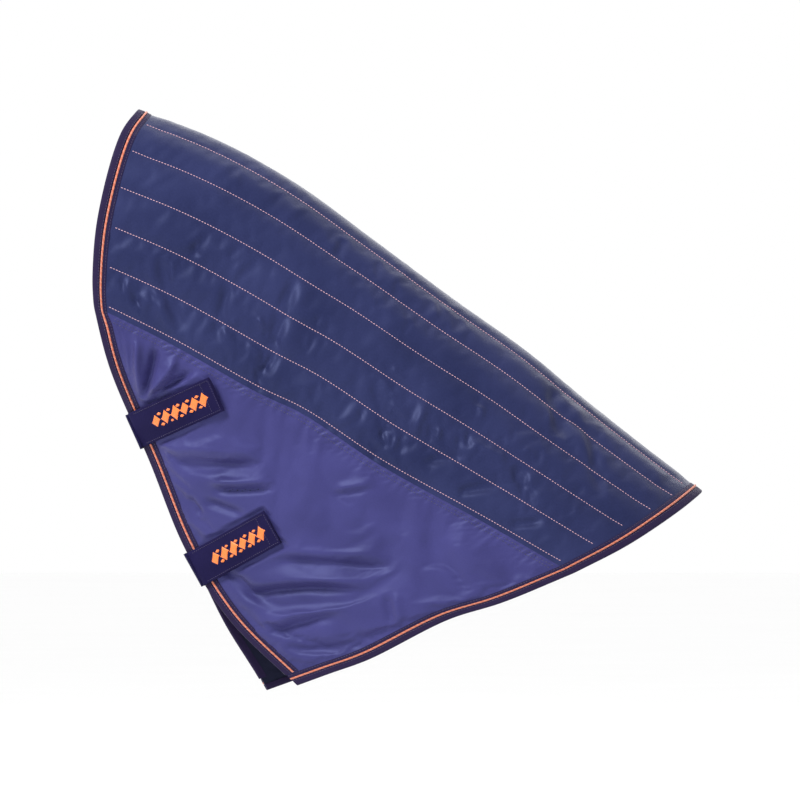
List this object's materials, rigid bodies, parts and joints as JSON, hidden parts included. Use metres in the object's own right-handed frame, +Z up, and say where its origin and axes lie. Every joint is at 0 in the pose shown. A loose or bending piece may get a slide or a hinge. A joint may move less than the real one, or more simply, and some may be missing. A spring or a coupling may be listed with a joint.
{
  "type": "turnout rug neck cover",
  "caption": "Quilted neck cover of a turnout rug: a saddle of padded cloth with bound, piped edges and hook-and-loop straps under the throat.",
  "frame": {"origin": "on the inner side of the crest, midway between the two sides, where the neck carries the cover", "axes": "+X along the cover towards the withers (the head end is -X), +Y towards the horse's right side, +Z up"},
  "size_m": [0.8208, 0.3484, 0.7858],
  "materials": {
    "quilt_cloth": "close-woven waterproof nylon, channel-quilted, soft satin sheen",
    "throat_cloth": "plain close-woven nylon, soft satin sheen",
    "lining_cloth": "smooth dark lining cloth, matt",
    "wadding_fibre": "loose white polyester wadding, matt",
    "binding_tape": "ribbed woven binding tape, matt",
    "piping_cord": "twisted two-tone cord, silky",
    "strap_cloth": "folded and edge-stitched nylon, soft sheen",
    "hook_and_loop": "hook and loop pile, matt",
    "embroidery_thread": "satin-stitched rayon thread, silky"
  },
  "bodies": {
    "cover": {"crest_tape": "binding_tape", "front_binding": "binding_tape", "front_piping": "piping_cord", "hem_binding": "binding_tape", "hem_piping": "piping_cord", "lower_lining_left": "lining_cloth", "lower_lining_right": "lining_cloth", "lower_shell_left": "throat_cloth", "lower_shell_right": "throat_cloth", "lower_strap_loop_pad": "hook_and_loop", "lower_strap_root": "strap_cloth", "quilt_lining_left": "lining_cloth", "quilt_lining_right": "lining_cloth", "quilt_shell_left": "quilt_cloth", "quilt_shell_right": "quilt_cloth", "rug_patch_left_lower": "hook_and_loop", "rug_patch_left_upper": "hook_and_loop", "rug_patch_right_lower": "hook_and_loop", "rug_patch_right_upper": "hook_and_loop", "seam_tape_left": "binding_tape", "seam_tape_right": "binding_tape", "upper_strap_loop_pad": "hook_and_loop", "upper_strap_root": "strap_cloth", "wadding_left": "wadding_fibre", "wadding_right": "wadding_fibre"},
    "upper_strap": {"upper_strap_bridge": "strap_cloth"},
    "upper_tab": {"upper_strap_tab": "strap_cloth", "upper_strap_hook_pad": "hook_and_loop", "upper_strap_motif": "embroidery_thread"},
    "lower_strap": {"lower_strap_bridge": "strap_cloth"},
    "lower_tab": {"lower_strap_tab": "strap_cloth", "lower_strap_hook_pad": "hook_and_loop", "lower_strap_motif": "embroidery_thread"}
  },
  "joints": [
    {"name": "upper_strap_swing", "type": "hinge", "parent": "cover", "child": "upper_strap", "pos_m": [-0.41171, 0.03907, -0.18554], "axis": [0.4085, 0, -0.9128], "range_deg": [0, 100]},
    {"name": "upper_tab_peel", "type": "hinge", "parent": "upper_strap", "child": "upper_tab", "pos_m": [-0.41174, -0.03904, -0.18556], "axis": [0.4085, 0, -0.9128], "range_deg": [0, 110]},
    {"name": "lower_strap_swing", "type": "hinge", "parent": "cover", "child": "lower_strap", "pos_m": [-0.33119, 0.04338, -0.37164], "axis": [0.4864, 0, -0.8737], "range_deg": [0, 100]},
    {"name": "lower_tab_peel", "type": "hinge", "parent": "lower_strap", "child": "lower_tab", "pos_m": [-0.33111, -0.04394, -0.37159], "axis": [0.4864, 0, -0.8737], "range_deg": [0, 110]}
  ]
}
